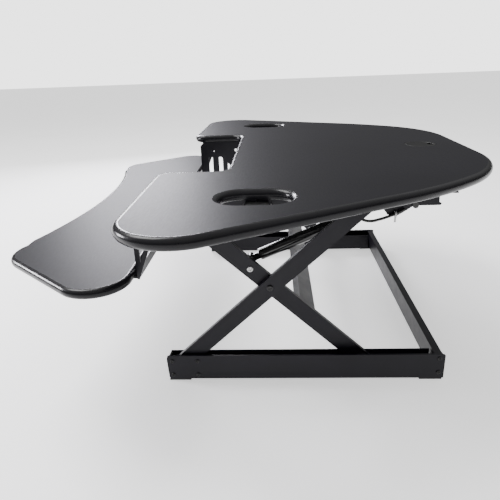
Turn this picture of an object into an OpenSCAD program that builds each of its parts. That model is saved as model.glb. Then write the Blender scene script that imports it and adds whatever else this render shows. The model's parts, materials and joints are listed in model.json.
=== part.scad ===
// Corner standing desk converter: a board on a scissor lift, with a hung keyboard tray.
// X runs across the desk, Y from the user to the back, Z up. Millimetres.

/* [Desktop] */
// Width of the desktop over its rounded edges
desk_w = 1166; // [1150:2:1180]
// Y of the desktop's rear edge, from the front end of the base rails
desk_back = 613; // [606:1:620]
// Thickness of the desktop
desk_t = 18; // [16:1:20]
// Half width of the user's cutout
cut_half = 221; // [216:1:226]
// Y of the back of the user's cutout
cut_back = 118; // [114:1:122]
// X of the centre of each handle slot
slot_x = 407; // [402:1:412]
// Y of the centre of each handle slot
slot_y = 177; // [174:1:180]
// Radius of the cable grommet's hole
grommet_r = 30; // [28:1:32]
// Y of the cable grommet
grommet_y = 524; // [520:1:530]

/* [Keyboard tray] */
// Thickness of the tray
tray_t = 15; // [14:1:16]
// Drop from the desktop's top to the tray's top
tray_drop = 101; // [98:1:104]
// X of the inner hanger plates
hanger_x = 238; // [236:1:242]
// X of the outer hanger plates
strut_x = 428; // [424:1:432]

/* [Scissor lift] */
// Angle of the legs above the horizontal
lift_angle = 42.6; // [40:0.2:45]
// Length of a leg from pivot to pivot
leg_len = 458; // [454:1:460]
// Width of a leg's tube
leg_w = 30; // [28:1:31]
// Thickness of a leg's tube
leg_t = 9; // [8:0.5:9]
// Y of the fixed pivots
pivot_y = 25; // [24:1:28]
// Height of the lower pivots
pivot_z = 29; // [28:0.5:30]

/* [Base frame] */
// Length of the base rails
rail_len = 504; // [500:1:508]
// Height of a base rail's outer wall
rail_h = 49; // [47:1:51]
// Half width of the base
base_half = 341.5; // [340:0.5:343]
// Height of the foot pads under the rails
foot_h = 3; // [2.5:0.5:4]

/* [Gas springs] */
// X of each gas spring
spring_x = 270; // [267:1:271]
// Radius of the gas spring's cylinder
spring_r = 11; // [9:0.5:11]
// Distance of the lower bolt from the leg's centre pivot
bolt_off = 46; // [44:1:48]

/* [Hidden] */
sheet = 2;             // wall of the folded rails
edge = 9;              // radius of the desktop's rounded edge
tray_edge = 7.5;       // radius of the tray's rounded edge
gap = 0.3;             // clearance between moving faces
sides = [1, -1];       // +1 is the user's right-hand side

// Scissor geometry
top_pivot_z = pivot_z + leg_len * sin(lift_angle);
roller_y = pivot_y + leg_len * cos(lift_angle);
centre = [(pivot_y + roller_y) / 2, (pivot_z + top_pivot_z) / 2];
tube_end = leg_len / 2 - 45;   // half length of a leg's hollow
lug_r = 8.5;
pin_r = 3.95;
hole_r = 4;
leg_a_x = 324;                 // inner face of the outer legs
leg_b_x = 312.5;                 // inner face of the inner legs

// Heights
rail_z = foot_h;
rail_top = rail_z + rail_h;
inner_wall_x = 309;            // inner face of the rails
inner_wall_h = 41.6;           // height of a base rail's inner wall
top_wall_z = top_pivot_z - 10; // lower edge of the top rails' walls
desk_z = top_pivot_z + 11;     // underside of the desktop
screw_ys = [100, 250, 488];    // Y of the top rails' screws
desk_top = desk_z + desk_t;
tray_z = desk_top - tray_drop - tray_t;

// Gas spring anchors, [y, z]
stud = centre + bolt_off * [-cos(lift_angle), sin(lift_angle)];
anchor = [402, top_pivot_z - 22];
spring_len = norm(anchor - stud);
spring_tilt = atan2(anchor[1] - stud[1], anchor[0] - stud[0]);
cyl_len = 165;                 // from the stud to the cylinder's mouth

// Desktop outline: corner circles of the outermost edge, [x, y, r]
wing = [desk_w / 2 - 85, 80, 85];
rear = [114, desk_back - 279, 279];
shoulder = 44;                 // angle at which the rear's curve gives way to the long flank
flank_r = 684;
flank = [rear[0] - (flank_r - rear[2]) * cos(shoulder), rear[1] - (flank_r - rear[2]) * sin(shoulder),
    flank_r];
nose = [cut_half + 31, 22, 31];
crook = [cut_half - 26, cut_back - 26, 26];

// Tray outline: corner circles of the outermost edge, [x, y, r], and the hollow front's radius
tray_corner = [345, -172, 65.5];
tray_side = [452, -62, 55.5];
hollow_r = 1137.5;
hollow_y = -1331;
y_mid = (desk_back + tray_corner[1] - tray_corner[2]) / 2;   // middle of the whole box

// Release cable's route for the right-hand side, [x, y, z]
cable_r = 2.5;
cable_path = [
    [345, 177, 339], [325, 177, 339], [304, 177, 339], [295, 179, 339], [290.5, 187, 339],
    [290, 200, 338], [290, 235, 336], [290, 270, 332], [290, 300, 322], [290, 320, 311],
    [290, 335, 302], [290, 345, 296.5], [290, 353, 291.5], [290, 361, 288.5], [289, 371, 287.5],
    [288, 384, 290], [287, 395, 293], [286.5, 406, 297], [286.5, 417, 302], [286.5, 426, 307]
];

// ---- Helpers -------------------------------------------------------------

// Points along an arc, in steps of about 6 degrees
function arc(c, r, a0, a1) =
    let (n = max(2, ceil(abs(a1 - a0) / 6)))
    [for (i = [0:n]) let (a = a0 + (a1 - a0) * i / n) [c[0] + r * cos(a), c[1] + r * sin(a)]];

// Angle of the outward normal of the line that touches two circles on their right
function touch(p, q) =
    let (v = [p[0] - q[0], p[1] - q[1]]) atan2(v[1], v[0]) + acos((q[2] - p[2]) / norm(v));

// A half outline on +X, joined to its mirror image
function both_halves(h) = concat(h, [for (i = [len(h) - 1:-1:0]) [-h[i][0], h[i][1]]]);

// A rounded rectangle
function pill(c, w, h, r) = concat(
    arc([c[0] + w / 2 - r, c[1] - h / 2 + r], r, -90, 0),
    arc([c[0] + w / 2 - r, c[1] + h / 2 - r], r, 0, 90),
    arc([c[0] - w / 2 + r, c[1] + h / 2 - r], r, 90, 180),
    arc([c[0] - w / 2 + r, c[1] - h / 2 + r], r, 180, 270));

// The desktop's outline, drawn in by d from its outermost edge
function desk_outline(d) = let (t = touch(wing, flank)) both_halves(concat(
    arc(crook, crook[2] + d, 90, 0),
    arc(nose, nose[2] - d, 180, 270),
    arc(wing, wing[2] - d, -90, t),
    arc(flank, flank[2] - d, t, shoulder - 1),
    arc(rear, rear[2] - d, shoulder, 90)));

// The tray's outline, drawn in by d from its outermost edge
function tray_outline(d) = let (t = touch(tray_corner, tray_side)) both_halves(concat(
    arc([0, hollow_y], hollow_r + d, 90, 75),
    arc(tray_corner, tray_corner[2] - d, -115, t),
    arc(tray_side, tray_side[2] - d, t, 90)));

// Points of a smooth curve through a route's points
function between(a, b, c, d, t) =
    0.5 * (2 * b + (c - a) * t + (2 * a - 5 * b + 4 * c - d) * t * t
    + (3 * b - a - 3 * c + d) * t * t * t);
function smooth(p, n) = let (m = len(p) - 1) [
    for (i = [0:m - 1], k = [0:n - 1])
        between(p[max(i - 1, 0)], p[i], p[i + 1], p[min(i + 2, m)], k / n),
    p[m]];

// The object's frame has its origin under the middle of the whole box
module place() translate([0, -y_mid, 0]) children();

// A shape drawn for the right-hand side, on one or both sides
module side(s) mirror([s < 0 ? 1 : 0, 0, 0]) children();
module both_sides() for (s = sides) side(s) children();

// A flat shape in Y and Z, given as [y, z], with thickness t from x
module upright(x, t) translate([x, 0, 0]) rotate([90, 0, 90]) linear_extrude(t) children();

// A round bar or hole along X
module x_bar(x, y, z, len, r) translate([x, y, z]) rotate([0, 90, 0]) cylinder(h = len, r = r, $fn = 48);

// A tube swept along points that lie mostly along Y
module sweep(p, r) {
    m = len(p) - 1;
    rings = [for (i = [0:m]) let (
        t = (p[min(i + 1, m)] - p[max(i - 1, 0)]) / norm(p[min(i + 1, m)] - p[max(i - 1, 0)]),
        u = cross([0, 0, 1], t) / norm(cross([0, 0, 1], t)),
        v = cross(t, u))
        for (k = [0:7]) p[i] + r * (cos(45 * k) * u + sin(45 * k) * v)];
    faces = concat(
        [[for (k = [7:-1:0]) k]],
        [for (i = [0:m - 1], k = [0:7])
            [8 * i + k, 8 * i + (k + 1) % 8, 8 * (i + 1) + (k + 1) % 8, 8 * (i + 1) + k]],
        [[for (k = [0:7]) 8 * m + k]]);
    polyhedron(rings, faces, convexity = 6);
}

// A pan-head screw whose head stands on a face, pointing along +Z
module screw(head_r, shank_r, len) {
    cylinder(h = 2, r = head_r, $fn = 32);
    translate([0, 0, -len]) cylinder(h = len, r = shank_r, $fn = 32);
}

// ---- Base ----------------------------------------------------------------

// A folded channel: a tall outer wall, a floor and a low inner wall
module base_rail() color("#2b2b2e") place() difference() {
    union() {
        upright(base_half - sheet, sheet) polygon(concat(
            [[0, rail_top - 6], [2, rail_z + 4], [6, rail_z]],
            [[rail_len - 1, rail_z], [rail_len, rail_z + 1]],
            [[rail_len, rail_top - 2], [rail_len - 2, rail_top]],
            [[2, rail_top]]));
        translate([inner_wall_x, 3, rail_z]) cube([base_half - inner_wall_x, rail_len - 8, sheet]);
        translate([inner_wall_x, 3, rail_z]) cube([sheet, rail_len - 23, inner_wall_h]);
        translate([base_half - 4, 4, rail_top - 4]) cube([4, rail_len - 23, 4]);
    }
    for (y = [10, 57], z = [rail_z + 9, rail_z + 38]) x_bar(base_half - 5, y, z, 10, 2.2);
    for (z = [rail_z + 12, rail_z + 41]) x_bar(base_half - 5, rail_len - 10, z, 10, 2.2);
}
module base_rail_right() side(1) base_rail();
module base_rail_left() side(-1) base_rail();

// A box section across the back, with a plate at each end for its screws
module base_rear_bar() color("#303033") place() {
    half = base_half - sheet;
    difference() {
        translate([-half, rail_len - 18, rail_z + 5]) cube([2 * half, 14, 42]);
        translate([-half + 3, rail_len - 16, rail_z + 7]) cube([2 * half - 6, 10, 38]);
        both_sides() for (z = [12, 41]) x_bar(half - 4, rail_len - 10, rail_z + z, 5, 2.2);
    }
}

// Plugs in the rails' ends, whose tops slope from one wall to the other
module rail_end_caps() color("#18181a") place() both_sides() for (y = [6, rail_len - 1])
    translate([0, y, 0]) rotate([90, 0, 0]) linear_extrude(3) polygon([
        [inner_wall_x + sheet, rail_z + sheet], [base_half - sheet, rail_z + sheet],
        [base_half - sheet, rail_top - 4], [inner_wall_x + sheet, rail_z + inner_wall_h - 1]]);

// Rubber pads under the rails' ends
module base_feet() color("#161616") place() both_sides() for (y = [2.5, rail_len - 43])
    translate([inner_wall_x + 4, y, 0]) cube([base_half - inner_wall_x - 4, 40, foot_h]);

// The plates and pins that carry the outer legs' fixed ends
module foot_brackets() color("#3a3a3d") place() both_sides() difference() {
    union() {
        translate([base_half - sheet - 3, 6.5, rail_z + 5]) cube([3, 57, 38]);
        x_bar(leg_a_x - 6, pivot_y, pivot_z, base_half - sheet - 2 - leg_a_x + 6, pin_r);
        x_bar(leg_a_x + leg_t + gap, pivot_y, pivot_z,
            base_half - sheet - 2 - leg_a_x - leg_t - gap, 7);
        x_bar(leg_a_x - 6, pivot_y, pivot_z, 6 - gap, 6);
    }
    for (y = [10, 57], z = [rail_z + 9, rail_z + 38]) x_bar(base_half - 8, y, z, 10, 2.2);
}

// Strips on the rails' floors that the lower rollers run on
module roller_tracks() color("#4a4a4c") place() both_sides()
    translate([leg_a_x - 0.5, 285, rail_z + sheet])
        cube([leg_t + 1.5, rail_len - 18 - 1 - 285, pivot_z - lug_r - 0.5 - rail_z - sheet]);

// Screws through the rails' outer walls
module base_screws() color("#3c3c3e") place() both_sides() {
    for (y = [10, 57], z = [rail_z + 9, rail_z + 38]) translate([base_half, y, z])
        rotate([0, 90, 0]) screw(3.6, 2.15, 4.8);
    for (z = [12, 41]) translate([base_half, rail_len - 10, rail_z + z])
        rotate([0, 90, 0]) screw(3.6, 2.15, 9);
}

// ---- Scissor -------------------------------------------------------------

// Side view of a leg, [y, z]: round-cornered ends, the +Y one cut down to run under the top rail
function leg_shape(h, w) = concat(
    arc([-h - 1.5, w - 7], 7, 90, 180),
    arc([-h - 1.5, 7 - w], 7, 180, 270),
    arc([h + 1.5, 7 - w], 7, -90, 0),
    arc([h, 0], lug_r, 0, 90),
    [[h - 34, w]]);

// One leg, along Y through the centre pivot: hollow between its solid ends
module leg_blank(x) difference() {
    union() {
        difference() {
            upright(x, leg_t) polygon(leg_shape(leg_len / 2, leg_w / 2));
            translate([x + sheet, -tube_end, -leg_w / 2 + sheet])
                cube([leg_t - 2 * sheet, 2 * tube_end, leg_w - 2 * sheet]);
        }
        x_bar(x, 0, 0, leg_t, 11);
    }
    for (y = [-leg_len / 2, 0, leg_len / 2]) x_bar(x - 1, y, 0, leg_t + 2, hole_r);
}
module at_centre(tilt) translate([0, centre[0], centre[1]]) rotate([tilt, 0, 0]) children();

module leg_a() color("#333336") place() at_centre(lift_angle) leg_blank(leg_a_x);
module leg_a_right() side(1) leg_a();
module leg_a_left() side(-1) leg_a();

module leg_b() color("#2e2e31") place() at_centre(-lift_angle) difference() {
    union() {
        mirror([0, 1, 0]) leg_blank(leg_b_x);
        x_bar(leg_b_x, -bolt_off, 0, leg_t, 8);
    }
    x_bar(leg_b_x - 1, -bolt_off, 0, leg_t + 2, hole_r);
}
module leg_b_right() side(1) leg_b();
module leg_b_left() side(-1) leg_b();

// The tube that ties the inner legs together, flush with their upper faces
module leg_b_cross_tube() color("#2e2e31") place() at_centre(-lift_angle) difference() {
    translate([-leg_b_x, 58, 0]) cube([2 * leg_b_x, 37, leg_w / 2]);
    translate([-leg_b_x - 1, 60, 2]) cube([2 * leg_b_x + 2, 33, leg_w / 2 - 4]);
}

// Shoulder bolts of the centre pivots
module centre_bolts() color("#202022") place() both_sides() at_centre(0) {
    x_bar(leg_b_x - 4, 0, 0, leg_a_x + leg_t - leg_b_x + 4, pin_r);
    x_bar(leg_a_x + leg_t, 0, 0, 3, 5.5);
    x_bar(leg_b_x - 6, 0, 0, 5.7, 7);
}
module centre_washers() color("#505054") place() both_sides() at_centre(0) difference() {
    x_bar(leg_b_x + leg_t + gap, 0, 0, leg_a_x - leg_b_x - leg_t - gap, 12);
    x_bar(leg_b_x + leg_t, 0, 0, 4, hole_r + 0.1);
}

// Axles of the rollers, held in the legs' moving ends
module top_roller_pins() color("#8c8c90") place() both_sides() translate([0, roller_y, top_pivot_z]) {
    x_bar(leg_b_x - 0.5, 0, 0, leg_a_x + leg_t + 1.5 - leg_b_x + 0.5, pin_r);
    x_bar(leg_b_x - 0.5, 0, 0, 1.2, 6);
    x_bar(leg_a_x - 1.2, 0, 0, 1.2, 6);
    x_bar(leg_a_x + leg_t, 0, 0, 1.5, 6);
}
module base_roller_pins() color("#8c8c90") place() both_sides() translate([0, roller_y, pivot_z]) {
    x_bar(leg_b_x, 0, 0, leg_a_x + leg_t + 1.8 - leg_b_x, pin_r);
    x_bar(leg_b_x + leg_t, 0, 0, leg_a_x - leg_b_x - leg_t - 0.5, 6);
    x_bar(leg_a_x + leg_t + gap, 0, 0, 1.5, 6);
}

module roller(x, z) color("#d8d6cf") place() difference() {
    x_bar(x, roller_y, z, leg_t, lug_r);
    x_bar(x - 1, roller_y, z, leg_t + 2, hole_r);
}
module base_roller_right() side(1) roller(leg_a_x, pivot_z);
module base_roller_left() side(-1) roller(leg_a_x, pivot_z);
module top_roller_right() side(1) roller(leg_a_x - 1.5 - leg_t, top_pivot_z);
module top_roller_left() side(-1) roller(leg_a_x - 1.5 - leg_t, top_pivot_z);

// ---- Gas springs ---------------------------------------------------------

// Bright bolts through the inner legs, ending in the springs' lower eyes
module spring_bolts() color("#c9c9cc") place() both_sides() translate([0, stud[0], stud[1]]) {
    x_bar(spring_x - 6, 0, 0, leg_b_x + leg_t - spring_x + 6, pin_r);
    x_bar(leg_b_x + leg_t, 0, 0, 2.1, 5.5);
    x_bar(spring_x + 7, 0, 0, leg_b_x - spring_x - 7, 6);
}
module along_spring() translate([spring_x, stud[0], stud[1]]) rotate([spring_tilt - 90, 0, 0]) children();

module spring_cylinder() color("#141416") place() along_spring() {
    difference() {
        union() {
            translate([0, 0, 18]) cylinder(h = cyl_len - 18, r = spring_r, $fn = 64);
            rotate([0, 90, 0]) translate([0, 0, -6]) cylinder(h = 12, r = 9, $fn = 48);
            translate([-5, -6, 0]) cube([10, 12, 19]);
        }
        translate([0, 0, 34]) cylinder(h = cyl_len, r = spring_r - 4, $fn = 64);
        rotate([0, 90, 0]) translate([0, 0, -10]) cylinder(h = 20, r = hole_r, $fn = 48);
    }
    difference() {
        translate([0, 0, cyl_len - 6]) cylinder(h = 6, r = spring_r - 1, $fn = 64);
        translate([0, 0, cyl_len - 7]) cylinder(h = 8, r = hole_r, $fn = 48);
    }
}
module spring_cylinder_right() side(1) spring_cylinder();
module spring_cylinder_left() side(-1) spring_cylinder();

module spring_rod() color("#b9bbbf") place() along_spring() {
    translate([0, 0, 118]) cylinder(h = 8, r = spring_r - 4 - gap, $fn = 48);
    translate([0, 0, 118]) cylinder(h = spring_len - 118 - 14, r = pin_r, $fn = 48);
    translate([0, 0, spring_len - 20]) cylinder(h = 8, r = 6.5, $fn = 48);
    translate([0, 0, spring_len]) rotate([0, 90, 0]) difference() {
        union() {
            translate([0, 0, -5]) cylinder(h = 10, r = 8, $fn = 48);
            translate([0, -5, -5]) cube([14, 10, 10]);
        }
        translate([0, 0, -6]) cylinder(h = 12, r = hole_r, $fn = 48);
    }
}
module spring_rod_right() side(1) spring_rod();
module spring_rod_left() side(-1) spring_rod();

// ---- Top frame -----------------------------------------------------------

// An inverted channel: its top runs on past the end of its walls
module top_rail() color("#2b2b2e") place() difference() {
    union() {
        translate([inner_wall_x, 0, desk_z - sheet]) cube([base_half - inner_wall_x, 492, sheet]);
        for (x = [inner_wall_x, base_half - sheet]) upright(x, sheet) polygon(
            [[0, top_wall_z], [466, top_wall_z], [468, top_wall_z + 3], [464, top_wall_z + 5],
             [463, desk_z], [0, desk_z]]);
    }
    for (x = [inner_wall_x - 1, base_half - 4], y = [pivot_y, slot_y])
        x_bar(x, y, top_pivot_z, 6, hole_r);
    for (y = screw_ys) translate([leg_a_x + 3, y, desk_z - 10]) cylinder(h = 12, r = 2.4, $fn = 32);
}
module top_rail_right() side(1) top_rail();
module top_rail_left() side(-1) top_rail();

module top_front_bar() color("#2b2b2e") place() difference() {
    translate([-inner_wall_x, 135, desk_z - 15]) cube([2 * inner_wall_x, 30, 15]);
    translate([-inner_wall_x - 1, 137, desk_z - 13]) cube([2 * inner_wall_x + 2, 26, 11]);
}
module top_rear_bar() color("#2b2b2e") place() difference() {
    translate([-inner_wall_x, 447, desk_z - 15]) cube([2 * inner_wall_x, 15, 15]);
    translate([-inner_wall_x - 1, 449, desk_z - 13]) cube([2 * inner_wall_x + 2, 11, 11]);
}

// Pins of the inner legs' fixed ends
module top_pivot_pins() color("#5a5a5e") place() both_sides() {
    x_bar(inner_wall_x, pivot_y, top_pivot_z, base_half - inner_wall_x, pin_r);
    x_bar(base_half, pivot_y, top_pivot_z, 2, 6);
    x_bar(inner_wall_x - 2, pivot_y, top_pivot_z, 2, 6);
    x_bar(leg_b_x + leg_t + gap, pivot_y, top_pivot_z, base_half - sheet - leg_b_x - leg_t - gap, 7);
}

// Two cheeks, a flange and the valve's stop under the desktop, round each spring's upper eye
module spring_brackets() color("#46464a") place() both_sides() {
    for (x = [spring_x - 11, spring_x + 8]) upright(x, 3) polygon(
        [[378, desk_z], [378, top_pivot_z - 9], [398, top_pivot_z - 43], [414, top_pivot_z - 46],
         [424, top_pivot_z - 40], [445, top_pivot_z - 26], [445, desk_z]]);
    translate([spring_x - 25, 378, desk_z - 3]) cube([50, 67, 3]);
    translate([spring_x - 11, 428, top_pivot_z - 36]) cube([22, 3, 22]);
}

// Screws that hold the top rails to the desktop, and a stop screw low on each outer wall
module frame_screws() color("#2a2a2c") place() both_sides() {
    for (y = screw_ys) translate([leg_a_x + 3, y, desk_z - sheet]) rotate([180, 0, 0]) screw(3.5, 2.3, 10);
    x_bar(base_half, 427, top_wall_z + 1, 2.4, 5);
}

// ---- Desktop -------------------------------------------------------------

// A board of thickness t whose outline() is drawn in by e at its faces
module board(t, e) {
    linear_extrude(t) children(1);
    translate([0, 0, e]) linear_extrude(t - 2 * e) children(0);
}
module desktop_board() color("#26262a") place() difference() {
    translate([0, 0, desk_z]) board(desk_t, 4) {
        polygon(desk_outline(0));
        polygon(desk_outline(3));
    }
    both_sides() translate([0, 0, desk_z - 1])
        linear_extrude(desk_t + 2) polygon(pill([slot_x, slot_y], 76, 108, 35));
    translate([0, grommet_y, desk_z - 1]) cylinder(h = desk_t + 2, r = grommet_r, $fn = 96);
    translate([0, grommet_y, desk_top - 2]) cylinder(h = 3, r = grommet_r + 3.6, $fn = 96);
    both_sides() for (y = screw_ys)
        translate([leg_a_x + 3, y, desk_z - 1]) cylinder(h = 10, r = 2.35, $fn = 32);
}

// A sleeve whose flange lies in a step, flush with the desktop
module grommet_ring() color("#1c1c1e") place() translate([0, grommet_y, desk_top]) rotate_extrude($fn = 96)
    polygon([[grommet_r - 2.5, -desk_t], [grommet_r - 0.1, -desk_t], [grommet_r - 0.1, -2],
             [grommet_r + 3.5, -2], [grommet_r + 3.5, -0.8], [grommet_r + 2.7, 0], [grommet_r - 1.5, 0],
             [grommet_r - 2.5, -1]]);
// The cap turns in the ring, and its notch lets cables through
module grommet_cap() color("#202022") place() translate([0, grommet_y, desk_top]) difference() {
    translate([0, 0, -9]) cylinder(h = 8.6, r = grommet_r - 2.58, $fn = 96);
    translate([0, 0, -10]) cylinder(h = 8, r = grommet_r - 5, $fn = 96);
    translate([0, grommet_r - 2, -12]) cylinder(h = 20, r = 12, $fn = 64);
}

// ---- Release paddles -----------------------------------------------------

paddle_x = 352;                 // X of the paddle's pin
paddle_z = desk_z - 11;         // height of the paddle's pin
paddle_w = 36;
module paddle_brackets() color("#303033") place() both_sides() {
    for (y = [slot_y - paddle_w / 2 - 3, slot_y + paddle_w / 2 + 0.5])
        difference() {
            translate([paddle_x - 8, y, paddle_z - 6]) cube([16, 2.5, desk_z - paddle_z + 6]);
            translate([paddle_x, y - 1, paddle_z]) rotate([-90, 0, 0]) cylinder(h = 5, r = 2.05, $fn = 32);
        }
    for (y = [slot_y - paddle_w / 2 - 15, slot_y + paddle_w / 2 + 3])
        translate([paddle_x - 8, y, desk_z - 2]) cube([16, 12, 2]);
}
module paddle_pins() color("#8c8c90") place() both_sides()
    translate([paddle_x, slot_y - 23, paddle_z]) rotate([-90, 0, 0]) cylinder(h = 46, r = 2, $fn = 32);

// A lever: fingers lift its broad outer end, and its hub pulls the cable
module release_paddle() color("#6a6a6e") place() translate([0, slot_y, 0]) difference() {
    union() {
        translate([paddle_x + 4, -paddle_w / 2, paddle_z - 4]) cube([62, paddle_w, 4]);
        translate([paddle_x + 56, -paddle_w / 2, paddle_z - 8]) cube([10, paddle_w, 6]);
        translate([paddle_x, paddle_w / 2, paddle_z]) rotate([90, 0, 0])
            cylinder(h = paddle_w, r = 5, $fn = 48);
    }
    translate([paddle_x, -paddle_w, paddle_z]) rotate([-90, 0, 0])
        cylinder(h = 2 * paddle_w, r = 2.05, $fn = 32);
}
module release_paddle_right() side(1) release_paddle();
module release_paddle_left() side(-1) release_paddle();

// Each cable runs from its paddle to the release valve at its spring's upper end
module release_cable() color("#101012") place() sweep(smooth(cable_path, 4), cable_r);
module release_cable_right() side(1) release_cable();
module release_cable_left() side(-1) release_cable();

// Clear ties round the cables, beside the spring brackets
module cable_ties() color("#d9dadc") place() both_sides() {
    translate([286.5, 412, 298.8]) rotate([90, 0, 0]) difference() {
        cylinder(h = 3, r = 5.2, $fn = 32);
        translate([0, 0, -1]) cylinder(h = 5, r = 3.9, $fn = 32);
    }
    translate([285, 409, 284]) cube([3, 3, 10]);
}

// ---- Keyboard tray -------------------------------------------------------

module tray_board() color("#2a2a2e") place() translate([0, 0, tray_z]) board(tray_t, 4) {
    polygon(tray_outline(0));
    polygon(tray_outline(3));
}

// An angle under the tray's rear edge
module tray_cross_rail() color("#333336") place() {
    translate([-strut_x, -60, tray_z - 3]) cube([2 * strut_x, 57.5, 3]);
    translate([-strut_x, -5.5, tray_z]) cube([2 * strut_x, 3, 12]);
}

// A slotted plate under each wing, with a foot under the tray
module inner_hanger() color("#36363a") place() {
    difference() {
        upright(hanger_x, 3) polygon(
            [[3, tray_z - 6], [56, tray_z - 6], [118, tray_z + 30], [118, desk_z], [14, desk_z],
             [3, desk_z - 11]]);
        for (y = [24.5, 51.5, 75.5]) upright(hanger_x - 1, 5) intersection() {
            translate([y, tray_z + 12]) square([10.5, 44]);
            polygon([[20, tray_z], [20, tray_z + 66], [49, tray_z + 66], [92, tray_z + 23], [92, tray_z]]);
        }
        x_bar(hanger_x - 1, 37, desk_z - 24, 5, 4);
        x_bar(hanger_x - 1, 100, desk_z - 24.5, 5, 4);
    }
    translate([hanger_x, 14, desk_z - 3]) cube([30, 100, 3]);
    translate([hanger_x, -58, tray_z - 6]) cube([30, 62, 3]);
}
module inner_hanger_right() side(1) inner_hanger();
module inner_hanger_left() side(-1) inner_hanger();

// A narrow plate that tapers down to each end of the cross rail
module outer_hanger() color("#36363a") place() {
    difference() {
        upright(strut_x, 3) polygon(
            [[-5.5, tray_z - 3], [-2, tray_z - 3], [38, desk_z], [-5.5, desk_z]]);
        upright(strut_x - 1, 5) polygon(
            [[2, tray_z + 24], [22, desk_z - 14], [2, desk_z - 14]]);
    }
    translate([strut_x - 9, -5.5, tray_z + 12]) cube([12, 2.5, desk_z - tray_z - 12]);
    translate([strut_x - 22, -1, desk_z - 3]) cube([25, 39, 3]);
}
module outer_hanger_right() side(1) outer_hanger();
module outer_hanger_left() side(-1) outer_hanger();

// Screws that hold the hangers to the desktop and the tray
module hanger_screws() color("#2a2a2c") place() both_sides() {
    for (y = [30, 98]) translate([hanger_x + 18, y, desk_z - 5]) cylinder(h = 2, r = 4.5, $fn = 32);
    for (y = [-48, -18]) translate([hanger_x + 18, y, tray_z - 8]) cylinder(h = 2, r = 4.5, $fn = 32);
    translate([strut_x - 12, 26, desk_z - 5]) cylinder(h = 2, r = 4.5, $fn = 32);
    for (x = [100, 360]) translate([x, -32, tray_z - 5]) cylinder(h = 2, r = 4.5, $fn = 32);
}

base_rail_right();
base_rail_left();
base_rear_bar();
rail_end_caps();
base_feet();
foot_brackets();
roller_tracks();
base_screws();
leg_a_right();
leg_a_left();
centre_bolts();
centre_washers();
top_roller_pins();
leg_b_right();
leg_b_left();
leg_b_cross_tube();
base_roller_pins();
base_roller_right();
base_roller_left();
top_roller_right();
top_roller_left();
spring_bolts();
spring_cylinder_right();
spring_cylinder_left();
spring_rod_right();
spring_rod_left();
top_rail_right();
top_rail_left();
top_front_bar();
top_rear_bar();
top_pivot_pins();
spring_brackets();
frame_screws();
desktop_board();
grommet_ring();
grommet_cap();
paddle_brackets();
paddle_pins();
release_paddle_right();
release_paddle_left();
release_cable_right();
release_cable_left();
cable_ties();
tray_board();
tray_cross_rail();
inner_hanger_right();
inner_hanger_left();
outer_hanger_right();
outer_hanger_left();
hanger_screws();
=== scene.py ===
"""Looks for a corner standing desk converter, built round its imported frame.

Metres, +Z up, user at -Y.
"""
import json
import math

import bpy
from mathutils import Matrix, Vector
from mathutils.geometry import tessellate_polygon


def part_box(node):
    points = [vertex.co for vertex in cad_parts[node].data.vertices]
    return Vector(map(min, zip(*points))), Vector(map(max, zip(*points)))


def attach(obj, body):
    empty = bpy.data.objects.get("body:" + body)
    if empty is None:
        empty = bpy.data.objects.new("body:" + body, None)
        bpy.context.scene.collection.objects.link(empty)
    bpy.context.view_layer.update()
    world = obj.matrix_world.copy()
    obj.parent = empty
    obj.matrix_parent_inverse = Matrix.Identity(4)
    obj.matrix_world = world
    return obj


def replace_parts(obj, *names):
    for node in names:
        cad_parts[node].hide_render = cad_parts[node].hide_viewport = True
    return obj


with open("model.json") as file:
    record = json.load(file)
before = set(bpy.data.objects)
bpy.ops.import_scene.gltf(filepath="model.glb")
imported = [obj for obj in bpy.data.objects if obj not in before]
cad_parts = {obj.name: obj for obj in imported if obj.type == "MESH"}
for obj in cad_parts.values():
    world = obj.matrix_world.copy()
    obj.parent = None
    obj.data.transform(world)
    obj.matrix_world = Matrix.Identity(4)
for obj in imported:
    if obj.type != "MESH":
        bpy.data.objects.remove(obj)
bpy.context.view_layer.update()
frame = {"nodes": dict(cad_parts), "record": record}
nodes = frame["nodes"]
MM = 0.001
Y_MID = 187.75      # the frame's origin, in millimetres behind the base rails' front ends


# ---- Camera --------------------------------------------------------------

def camera():
    data = bpy.data.cameras.new("camera")
    data.sensor_width = 36
    data.lens = 35.09
    data.clip_end = 60
    ob = bpy.data.objects.new("camera", data)
    bpy.context.scene.collection.objects.link(ob)
    yaw, pitch, roll = -0.06, 0.372, -0.04
    cy, sy, cp, sp = math.cos(yaw), math.sin(yaw), math.cos(pitch), math.sin(pitch)
    forward = Vector((-cy, sy, 0)) * cp - Vector((0, 0, sp))
    level = Vector((sy, cy, 0))
    raised = Vector((-cy, sy, 0)) * sp + Vector((0, 0, cp))
    right = level * math.cos(roll) + raised * math.sin(roll)
    up = raised * math.cos(roll) - level * math.sin(roll)
    m = Matrix((right, up, -forward)).transposed().to_4x4()
    m.translation = Vector((1.0962, 0.01964, 0.55362))
    ob.matrix_world = m
    bpy.context.scene.camera = ob


camera()


# ---- Materials -----------------------------------------------------------

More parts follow.
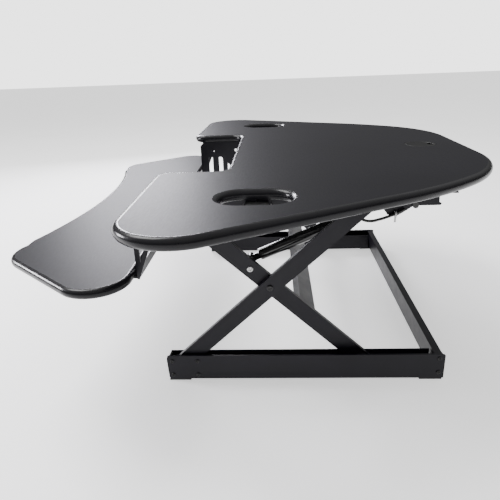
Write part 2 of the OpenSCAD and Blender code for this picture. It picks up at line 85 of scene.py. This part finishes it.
class Nodes:
    """A short way to write a node tree."""

    def __init__(self, name):
        self.mat = bpy.data.materials.new(name)
        self.mat.use_nodes = True
        self.tree = self.mat.node_tree
        self.tree.nodes.clear()
        self.out = self.tree.nodes.new("ShaderNodeOutputMaterial")
        self.bsdf = self.tree.nodes.new("ShaderNodeBsdfPrincipled")
        self.link(self.bsdf, "BSDF", self.out, "Surface")
        self.coord = self.tree.nodes.new("ShaderNodeTexCoord")

    def link(self, a, ao, b, bi):
        self.tree.links.new(a.outputs[ao], b.inputs[bi])

    def noise(self, scale, detail=3.0, rough=0.55, stretch=None):
        n = self.tree.nodes.new("ShaderNodeTexNoise")
        n.inputs["Scale"].default_value = scale
        n.inputs["Detail"].default_value = detail
        n.inputs["Roughness"].default_value = rough
        if stretch:
            m = self.tree.nodes.new("ShaderNodeMapping")
            m.inputs["Scale"].default_value = stretch
            self.link(self.coord, "Object", m, "Vector")
            self.link(m, "Vector", n, "Vector")
        else:
            self.link(self.coord, "Object", n, "Vector")
        return n

    def ramp(self, source, stops):
        r = self.tree.nodes.new("ShaderNodeValToRGB")
        while len(r.color_ramp.elements) < len(stops):
            r.color_ramp.elements.new(0.5)
        for e, (p, c) in zip(r.color_ramp.elements, stops):
            e.position = p
            e.color = (*c, 1) if isinstance(c, tuple) else (c, c, c, 1)
        self.link(source, "Fac", r, "Fac")
        return r

    def mix(self, a, b, fac):
        m = self.tree.nodes.new("ShaderNodeMix")
        m.data_type = "RGBA"
        self.tree.links.new(fac.outputs["Color"], m.inputs["Factor"])
        self.tree.links.new(a.outputs["Color"], m.inputs["A"])
        self.tree.links.new(b.outputs["Color"], m.inputs["B"])
        return m

    def colour(self, node, socket="Color"):
        self.link(node, socket, self.bsdf, "Base Color")

    def rough(self, node):
        self.link(node, "Color", self.bsdf, "Roughness")

    def bump(self, parts):
        """parts: (height node, strength, distance in mm), each laid over the last."""
        last = None
        for n, strength, distance in parts:
            b = self.tree.nodes.new("ShaderNodeBump")
            b.inputs["Strength"].default_value = strength
            b.inputs["Distance"].default_value = distance * MM
            self.link(n, "Fac" if "Fac" in n.outputs else "Color", b, "Height")
            if last:
                self.link(last, "Normal", b, "Normal")
            last = b
        self.link(last, "Normal", self.bsdf, "Normal")

    def put(self, **values):
        for k, v in values.items():
            self.bsdf.inputs[k.replace("_", " ")].default_value = v
        return self.mat


def coat(name, dark, light, low, high, grain=1500, height=0.03, strength=0.35, **values):
    """Sprayed or moulded black: mottled tone, uneven gloss and a fine skin."""
    n = Nodes(name)
    tone = n.noise(9, 5, 0.6)
    skin = n.noise(grain, 2, 0.5)
    n.colour(n.ramp(tone, [(0.3, dark), (0.7, light)]))
    n.rough(n.ramp(n.noise(35, 6, 0.7), [(0.25, low), (0.75, high)]))
    n.bump([(skin, strength, height), (n.noise(60, 3), 0.12, 0.05)])
    return n.put(**values)


def film(name, dark, light, low, high, fleck, **values):
    """Charcoal film pressed on board: fine speckle over a faint long grain."""
    n = Nodes(name)
    grain = n.noise(420, 4, 0.65, stretch=(0.22, 1.0, 1.0))
    speck = n.noise(1900, 2, 0.5)
    base = n.ramp(n.noise(4, 4, 0.5), [(0.3, dark), (0.7, light)])
    pale = n.ramp(speck, [(0.45, dark), (0.78, fleck)])
    n.colour(n.mix(base, pale, n.ramp(grain, [(0.35, 0.15), (0.75, 0.85)])), "Result")
    n.rough(n.ramp(grain, [(0.2, low), (0.8, high)]))
    n.bump([(speck, 0.35, 0.04), (grain, 0.25, 0.05)])
    return n.put(**values)


def brushed(name, dark, light, low, high, stretch, **values):
    n = Nodes(name)
    lines = n.noise(1400, 3, 0.7, stretch=stretch)
    n.colour(n.ramp(lines, [(0.2, dark), (0.8, light)]))
    n.rough(n.ramp(n.noise(160, 4), [(0.3, low), (0.7, high)]))
    n.bump([(lines, 0.2, 0.01)])
    return n.put(Metallic=1.0, **values)


frame_coat = coat("satin_black_coat", (0.0045, 0.004, 0.0065), (0.0075, 0.0068, 0.011), 0.30, 0.42,
                  Specular_IOR_Level=0.22)
leg_coat = coat("satin_black_leg_coat", (0.0045, 0.004, 0.0065), (0.0075, 0.0068, 0.011), 0.30, 0.42,
                Specular_IOR_Level=0.22)
top_film = film("charcoal_film", (0.0060, 0.0058, 0.0072), (0.0085, 0.0082, 0.0105), 0.44, 0.53,
                (0.018, 0.0173, 0.022), Specular_IOR_Level=0.10)
under_film = film("charcoal_backing", (0.010, 0.010, 0.011), (0.014, 0.014, 0.015), 0.6, 0.7,
                  (0.02, 0.02, 0.021), Specular_IOR_Level=0.25)
edge_vinyl = coat("black_edge_vinyl", (0.004, 0.0038, 0.005), (0.007, 0.0066, 0.0085), 0.20, 0.30, grain=700,
                  height=0.10, strength=0.8, Specular_IOR_Level=0.22)
MATS = {
    "frame_coat": frame_coat,
    "leg_coat": leg_coat,
    "board_film": top_film,
    "grommet_plastic": coat("grommet_plastic", 0.005, 0.008, 0.32, 0.42, grain=900,
                            Specular_IOR_Level=0.25),
    "cap_plastic": coat("cap_plastic", 0.004, 0.007, 0.42, 0.52, grain=900,
                        Specular_IOR_Level=0.12),
    "foot_rubber": coat("foot_rubber", 0.012, 0.018, 0.7, 0.85, grain=600, height=0.1),
    "roller_plastic": coat("roller_nylon", 0.42, 0.50, 0.35, 0.5, grain=800, Subsurface_Weight=0.1),
    "black_screw": brushed("blackened_steel", 0.03, 0.06, 0.28, 0.42, (1, 1, 1)),
    "bright_steel": brushed("plated_steel", 0.36, 0.48, 0.22, 0.36, (1, 1, 1)),
    "rod_chrome": brushed("rod_chrome", 0.55, 0.68, 0.05, 0.12, (6, 0.3, 0.3)),
    "spring_paint": coat("spring_paint", 0.005, 0.008, 0.16, 0.26, Coat_Weight=0.4, Coat_Roughness=0.08),
    "paddle_paint": coat("paddle_coat", 0.10, 0.14, 0.35, 0.48),
    "cable_sheath": coat("cable_sheath", 0.006, 0.009, 0.30, 0.42, grain=900),
    "clear_nylon": coat("clear_nylon", 0.62, 0.72, 0.25, 0.4, grain=700, Transmission_Weight=0.5),
}
slot_of = {s["node"]: s["material_slot"] for s in frame["record"]["subparts"]}
for name, ob in nodes.items():
    ob.data.materials.clear()
    ob.data.materials.append(MATS[slot_of[name]])


# ---- Mesh tools ----------------------------------------------------------

def add(name, verts, faces, mats, body, face_mats=None, normals=None, smooth=True):
    """A new piece from points in metres. normals gives one normal for each face corner."""
    mesh = bpy.data.meshes.new(name)
    mesh.from_pydata(verts, [], faces)
    for m in mats:
        mesh.materials.append(m)
    if face_mats:
        mesh.polygons.foreach_set("material_index", face_mats)
    mesh.polygons.foreach_set("use_smooth", [smooth] * len(faces))
    mesh.update()
    if normals:
        mesh.normals_split_custom_set(normals)
    ob = bpy.data.objects.new(name, mesh)
    bpy.context.scene.collection.objects.link(ob)
    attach(ob, body)
    return ob


def arc(c, r, a0, a1, n):
    out = []
    for i in range(n + 1):
        a = math.radians(a0 + (a1 - a0) * i / n)
        out.append((c[0] + r * math.cos(a), c[1] + r * math.sin(a)))
    return out


def touch(p, q):
    v = (p[0] - q[0], p[1] - q[1])
    return math.degrees(math.atan2(v[1], v[0]) + math.acos((q[2] - p[2]) / math.hypot(*v)))


def halves(h):
    return h + [(-x, y) for x, y in reversed(h)]


def pill(c, w, h, r, n=20):
    x, y = w / 2 - r, h / 2 - r
    return (arc((c[0] + x, c[1] - y), r, -90, 0, n) + arc((c[0] + x, c[1] + y), r, 0, 90, n)
            + arc((c[0] - x, c[1] + y), r, 90, 180, n) + arc((c[0] - x, c[1] - y), r, 180, 270, n))


WING, REAR, SHOULDER = (498, 80, 85), (114, 334, 279), 44
FLANK = (114 - 405 * math.cos(math.radians(SHOULDER)), 334 - 405 * math.sin(math.radians(SHOULDER)), 684)
NOSE, CROOK = (252, 22, 31), (195, 92, 26)
CORNER, SIDE = (345, -172, 65.5), (452, -62, 55.5)


def desk_outline(d):
    t = touch(WING, FLANK)
    return halves(arc(CROOK, CROOK[2] + d, 90, 0, 16) + arc(NOSE, NOSE[2] - d, 180, 270, 16)
                  + arc(WING, WING[2] - d, -90, t, 40) + arc(FLANK, FLANK[2] - d, t, SHOULDER - 1, 24)
                  + arc(REAR, REAR[2] - d, SHOULDER, 90, 36))


def tray_outline(d):
    t = touch(CORNER, SIDE)
    return halves(arc((0, -1331), 1137.5 + d, 90, 75, 24) + arc(CORNER, CORNER[2] - d, -115, t, 24)
                  + arc(SIDE, SIDE[2] - d, t, 90, 32))


def board(name, node, body, outline, round_holes=(), bores=()):
    """A board with a full round edge.

    round_holes are functions of the inset; bores are (x, y, radius, radius of the step at the top).
    """
    lo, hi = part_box(node)
    r = (hi.z - lo.z) / 2 / MM
    zc = (hi.z + lo.z) / 2 / MM
    steps = 14
    verts, norm, faces, kind = [], [], [], []
    top_loops, low_loops = [], []

    def rings(shape, outward):
        inner, outer = shape(1), shape(0)
        ways = [Vector((b[0] - a[0], b[1] - a[1], 0)).normalized() for a, b in zip(inner, outer)]
        first = len(verts)
        for k in range(steps + 1):
            phi = math.pi * (k / steps - 0.5)
            for p, w in zip(shape(r * (1 - math.cos(phi))), ways):
                verts.append(Vector((p[0], p[1] - Y_MID, zc + r * math.sin(phi))) * MM)
                norm.append(w * math.cos(phi) + Vector((0, 0, math.sin(phi))))
        n = len(outer)
        for k in range(steps):
            for i in range(n):
                a, b = first + k * n + i, first + k * n + (i + 1) % n
                quad = (a, b, b + n, a + n)
                faces.append(quad if outward else quad[::-1])
                kind.append(1)
        low_loops.append(list(range(first, first + n)))
        top_loops.append(list(range(first + steps * n, first + steps * n + n)))

    rings(outline, True)
    for h in round_holes:
        rings(h, False)
    for cx, cy, cr, step in bores:
        first, n = len(verts), 96
        for z, ring in ((zc - r, cr), (zc + r - 2, cr), (zc + r - 2, step), (zc + r, step)):
            for x, y in arc((cx, cy), ring, 0, 360 - 360 / n, n - 1):
                verts.append(Vector((x, y - Y_MID, z)) * MM)
                norm.append(Vector((cx - x, cy - y, 0)).normalized())
        for k in range(3):
            for i in range(n):
                a, b = first + k * n + i, first + k * n + (i + 1) % n
                faces.append((b, a, a + n, b + n))
                kind.append(3 if k == 1 else 1)
        low_loops.append(list(range(first, first + n)))
        top_loops.append(list(range(first + 3 * n, first + 4 * n)))
    for loops, up in ((top_loops, 1), (low_loops, -1)):
        index = [i for loop in loops for i in loop]
        level = [[Vector((verts[i].x, verts[i].y, 0)) for i in loop] for loop in loops]
        for tri in tessellate_polygon(level):
            t = [index[i] for i in tri]
            a, b, c = (verts[i] for i in t)
            area = (b - a).cross(c - a).z
            if abs(area) < 1e-14:
                continue
            faces.append(t if area * up > 0 else t[::-1])
            kind.append(0 if up > 0 else 2)
    flat = {0: Vector((0, 0, 1)), 2: Vector((0, 0, -1)), 3: Vector((0, 0, 1))}
    corner = [flat.get(k, norm[i]) for f, k in zip(faces, kind) for i in f]
    mats = [top_film, edge_vinyl, under_film, under_film]
    ob = add(name, verts, faces, mats, body, kind, corner)
    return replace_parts(ob, node)


def slot_shape(s):
    return lambda d: pill((407 * s, 177), 76 + 2 * d, 108 + 2 * d, 35 + d)


board("desktop", "desktop_board", "top", desk_outline, [slot_shape(1), slot_shape(-1)], [(0, 524, 30, 33.6)])
board("keyboard_tray", "tray_board", "top", tray_outline)


# ---- Metalwork -----------------------------------------------------------

UNBEVELLED = {"desktop_board", "tray_board", "release_cable_right", "release_cable_left"}
for name, ob in nodes.items():
    if name in UNBEVELLED:
        continue
    m = ob.modifiers.new("edge", "BEVEL")
    m.width = 0.5 * MM
    m.segments = 2
    m.limit_method = "ANGLE"
    m.angle_limit = math.radians(38)
    m.use_clamp_overlap = True


# ---- Cross-recess screws -------------------------------------------------

class Solids:
    """Turned pieces along X, gathered in one mesh. Points are millimetres of the rails' frame."""

    def __init__(self):
        self.verts, self.faces = [], []

    def at(self, side, axis, x, y, z):
        self.verts.append(Vector((side * x, axis[0] + y - Y_MID, axis[1] + z)) * MM)
        return len(self.verts) - 1

    def face(self, side, points):
        self.faces.append(tuple(points) if side > 0 else tuple(reversed(points)))

    def turned(self, side, axis, profile, n=48, open_end=False):
        """profile: (x, radius) from the inner end to the outer; the outer end can be left open."""
        round_trip = [2 * math.pi * i / n for i in range(n)]
        rings = [[self.at(side, axis, x, r * math.cos(a), r * math.sin(a)) for a in round_trip]
                 for x, r in profile]
        for a, b in zip(rings, rings[1:]):
            for i in range(n):
                j = (i + 1) % n
                self.face(side, (a[i], a[j], b[j], b[i]))
        self.face(side, tuple(reversed(rings[0])))
        if not open_end:
            self.face(side, rings[-1])
        return rings[-1]

    def recessed(self, side, axis, x, height, r, shank, length, turn=0.0):
        """A screw from x - length to x + height with a rounded head and a cross recess."""
        crown = [(x + height * (0.45 + 0.55 * math.sin(a)), r * (0.72 + 0.28 * math.cos(a)))
                 for a in (math.pi / 2 * k / 5 for k in range(6))]
        stem = [(x - length, shank), (x, shank), (x, r)]
        rim = self.turned(side, axis, stem + crown, open_end=True)
        arm, half, depth = 0.62 * r, 0.17 * r, min(1.5, 0.3 * r + 0.4)
        shape = [(arm, -half), (arm, half), (half, half), (half, arm), (-half, arm), (-half, half),
                 (-arm, half), (-arm, -half), (-half, -half), (-half, -arm), (half, -arm), (half, -half)]
        c, s = math.cos(turn), math.sin(turn)
        top, low = [], []
        for ring, scale, px in ((top, 1.0, x + height), (low, 0.62, x + height - depth)):
            for u, v in shape:
                ring.append(self.at(side, axis, px, (u * c - v * s) * scale, (u * s + v * c) * scale))
        loops = [rim, top]
        index = rim + top
        flat = [[Vector((self.verts[i].y, self.verts[i].z, 0)) for i in loop] for loop in loops]
        for tri in tessellate_polygon(flat):
            a, b, d = (self.verts[index[i]] for i in tri)
            area = (b.y - a.y) * (d.z - a.z) - (b.z - a.z) * (d.y - a.y)
            if abs(area) > 1e-14:
                t = [index[i] for i in (tri if area > 0 else tri[::-1])]
                self.face(side, t)
        for i in range(12):
            j = (i + 1) % 12
            self.face(side, (top[j], top[i], low[i], low[j]))
        self.face(side, low)

    def hexed(self, side, axis, x0, x1, r):
        self.turned(side, axis, [(x0, r * 0.9), (x0 + 0.6, r), (x1 - 0.6, r), (x1, r * 0.9)], n=6)

    def piece(self, name, node, body, slot):
        ob = add(name, self.verts, self.faces, [MATS[slot]], body)
        ob.data.set_sharp_from_angle(angle=math.radians(40))
        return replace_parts(ob, node)


STUD, CENTRE = (159.706, 215.141), (193.566, 184.005)   # the bolts' axes, (y, z)
RAIL_FACE, OUTER_LEG_FACE, INNER_LEG_FACE = 341.5, 333, 321.5
FRONT_SCREWS = ((10, 12), (10, 41), (57, 12), (57, 41))
REAR_SCREWS = ((494, 15), (494, 44))
frame_bolts, leg_bolts, pivot_bolts = Solids(), Solids(), Solids()
for s in (1, -1):
    for k, axis in enumerate(FRONT_SCREWS):
        frame_bolts.recessed(s, axis, RAIL_FACE, 2, 3.6, 2.15, 4.8, 0.3 + 0.7 * k)
    for k, axis in enumerate(REAR_SCREWS):
        frame_bolts.recessed(s, axis, RAIL_FACE, 2, 3.6, 2.15, 9, 0.9 + 0.5 * k)
    leg_bolts.recessed(s, STUD, INNER_LEG_FACE, 2.1, 5.5, 3.95, 57.5, 0.4)
    leg_bolts.turned(s, STUD, [(277, 5.5), (277.5, 6), (312, 6), (312.5, 5.5)])
    pivot_bolts.recessed(s, CENTRE, OUTER_LEG_FACE, 3, 5.5, 3.95, 24.5, 0.2)
    pivot_bolts.hexed(s, CENTRE, 306.5, 312.2, 7)
frame_bolts.piece("rail_screws", "base_screws", "base", "black_screw")
leg_bolts.piece("bright_bolts", "spring_bolts", "leg_b", "bright_steel")
pivot_bolts.piece("pivot_bolts", "centre_bolts", "leg_a", "black_screw")


# ---- Release cables ------------------------------------------------------

ROUTE = [(345, 177, 339), (325, 177, 339), (304, 177, 339), (295, 179, 339), (290.5, 187, 339),
         (290, 200, 338), (290, 235, 336), (290, 270, 332), (290, 300, 322), (290, 320, 311),
         (290, 335, 302), (290, 345, 296.5), (290, 353, 291.5), (290, 361, 288.5), (289, 371, 287.5),
         (288, 384, 290), (287, 395, 293), (286.5, 406, 297), (286.5, 417, 302), (286.5, 426, 307)]


def smooth_path(p, n):
    out = []
    for i in range(len(p) - 1):
        a, b, c, d = (Vector(p[max(0, min(j, len(p) - 1))]) for j in (i - 1, i, i + 1, i + 2))
        for k in range(n):
            t = k / n
            out.append(0.5 * (2 * b + (c - a) * t + (2 * a - 5 * b + 4 * c - d) * t * t
                              + (3 * b - a - 3 * c + d) * t ** 3))
    return out + [Vector(p[-1])]


def tube(name, path, r, mat, body, sides=16):
    """A round tube along points in millimetres of the rails' frame."""
    verts, faces = [], []
    side = Vector((0, 0, 1))
    for i, p in enumerate(path):
        t = (path[min(i + 1, len(path) - 1)] - path[max(i - 1, 0)]).normalized()
        u = (side - t * side.dot(t)).normalized()
        side = u
        w = t.cross(u)
        for k in range(sides):
            a = 2 * math.pi * k / sides
            verts.append((p - Vector((0, Y_MID, 0)) + r * (math.cos(a) * u + math.sin(a) * w)) * MM)
    for i in range(len(path) - 1):
        for k in range(sides):
            a, b = i * sides + k, i * sides + (k + 1) % sides
            faces.append((a, b, b + sides, a + sides))
    faces += [tuple(range(sides))[::-1], tuple((len(path) - 1) * sides + k for k in range(sides))]
    return add(name, verts, faces, [mat], body)


for s, word in ((1, "right"), (-1, "left")):
    path = [Vector((p[0] * s, p[1], p[2])) for p in ROUTE]
    cable = tube("cable_" + word, smooth_path(path, 6), 2.5, MATS["cable_sheath"], "top")
    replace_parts(cable, "release_cable_" + word)


# ---- Floor and light -----------------------------------------------------

def floor():
    mesh = bpy.data.meshes.new("floor")
    half, low = 14, -0.0002
    corners = [(-half, -half, low), (half, -half, low), (half, half, low), (-half, half, low)]
    mesh.from_pydata(corners, [], [(0, 1, 2, 3)])
    n = Nodes("floor_paint")
    pale = n.ramp(n.noise(3, 2), [(0.3, 0.86), (0.7, 0.88)])
    n.colour(pale)
    n.link(pale, "Color", n.bsdf, "Emission Color")
    mesh.materials.append(n.put(Roughness=0.9, Emission_Strength=0.9))
    ob = bpy.data.objects.new("floor", mesh)
    bpy.context.scene.collection.objects.link(ob)


def lamp(name, at, to, w, h, power, colour=(1, 1, 1)):
    data = bpy.data.lights.new(name, "AREA")
    data.shape = "RECTANGLE"
    data.size, data.size_y = w, h
    data.energy = power
    data.color = colour
    ob = bpy.data.objects.new(name, data)
    ob.location = at
    ob.rotation_euler = (Vector(to) - Vector(at)).to_track_quat("-Z", "Y").to_euler()
    bpy.context.scene.collection.objects.link(ob)


def studio():
    """Pale all round to the eye; as light, a soft dome, dim near the horizon and brightest overhead."""
    world = bpy.data.worlds.new("studio")
    world.use_nodes = True
    t = world.node_tree
    t.nodes.clear()
    out = t.nodes.new("ShaderNodeOutputWorld")
    coord = t.nodes.new("ShaderNodeTexCoord")
    split = t.nodes.new("ShaderNodeSeparateXYZ")
    t.links.new(coord.outputs["Generated"], split.inputs[0])
    ramp = t.nodes.new("ShaderNodeValToRGB")
    stops = [(0.0, 0.05), (0.12, 0.06), (0.30, 0.18), (0.60, 0.5), (1.0, 0.7)]
    while len(ramp.color_ramp.elements) < len(stops):
        ramp.color_ramp.elements.new(0.5)
    for e, (pos, v) in zip(ramp.color_ramp.elements, stops):
        e.position = pos
        e.color = (v, v, v, 1)
    t.links.new(split.outputs["Z"], ramp.inputs["Fac"])
    dome = t.nodes.new("ShaderNodeBackground")
    dome.inputs["Strength"].default_value = 1.6
    t.links.new(ramp.outputs["Color"], dome.inputs["Color"])
    pale = t.nodes.new("ShaderNodeBackground")
    pale.inputs["Color"].default_value = (1, 1, 1, 1)
    pale.inputs["Strength"].default_value = 3.0
    path = t.nodes.new("ShaderNodeLightPath")
    mix = t.nodes.new("ShaderNodeMixShader")
    t.links.new(path.outputs["Is Camera Ray"], mix.inputs[0])
    t.links.new(dome.outputs[0], mix.inputs[1])
    t.links.new(pale.outputs[0], mix.inputs[2])
    t.links.new(mix.outputs[0], out.inputs["Surface"])
    bpy.context.scene.world = world


floor()
studio()
lamp("key", (-1.75, -0.85, 1.05), (0.45, -0.15, 0.36), 0.7, 0.5, 46, (0.94, 0.93, 1.0))
lamp("front", (-0.1, -2.1, 0.85), (0.5, -0.2, 0.36), 0.5, 0.4, 40, (0.96, 0.95, 1.0))
lamp("top", (-0.6, -1.6, 3.0), (0.1, -0.2, 0.3), 1.6, 1.6, 120)
